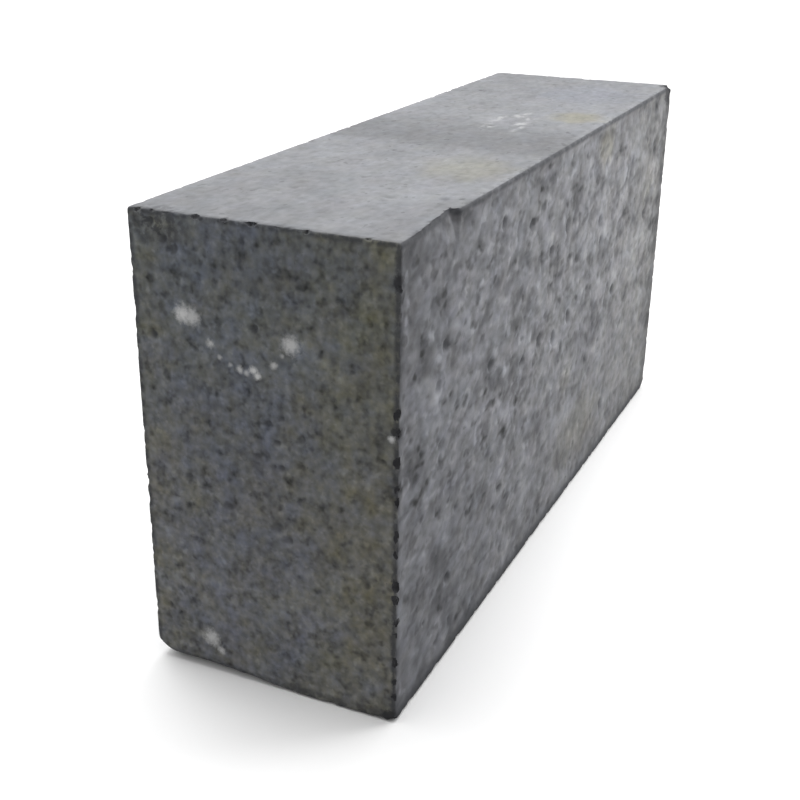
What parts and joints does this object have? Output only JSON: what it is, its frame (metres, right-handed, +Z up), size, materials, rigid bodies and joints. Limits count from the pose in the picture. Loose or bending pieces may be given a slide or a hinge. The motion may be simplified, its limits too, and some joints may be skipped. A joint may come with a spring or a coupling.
{
  "type": "refractory firebrick",
  "caption": "Straight rectangular refractory brick, a dense dark grey pressed block with softened, chipped arrises, laid to line furnaces, kilns and ladles.",
  "frame": {"origin": "centre of the brick's bounding box at floor level, under the long edge face it stands on", "axes": "+X along the length, +Y through the thickness from the front pressed face to the rear one, +Z up"},
  "size_m": [0.23, 0.065, 0.114],
  "materials": {
    "fired_body": "matte"
  },
  "bodies": {
    "root": {"firebrick": "fired_body"}
  },
  "joints": []
}
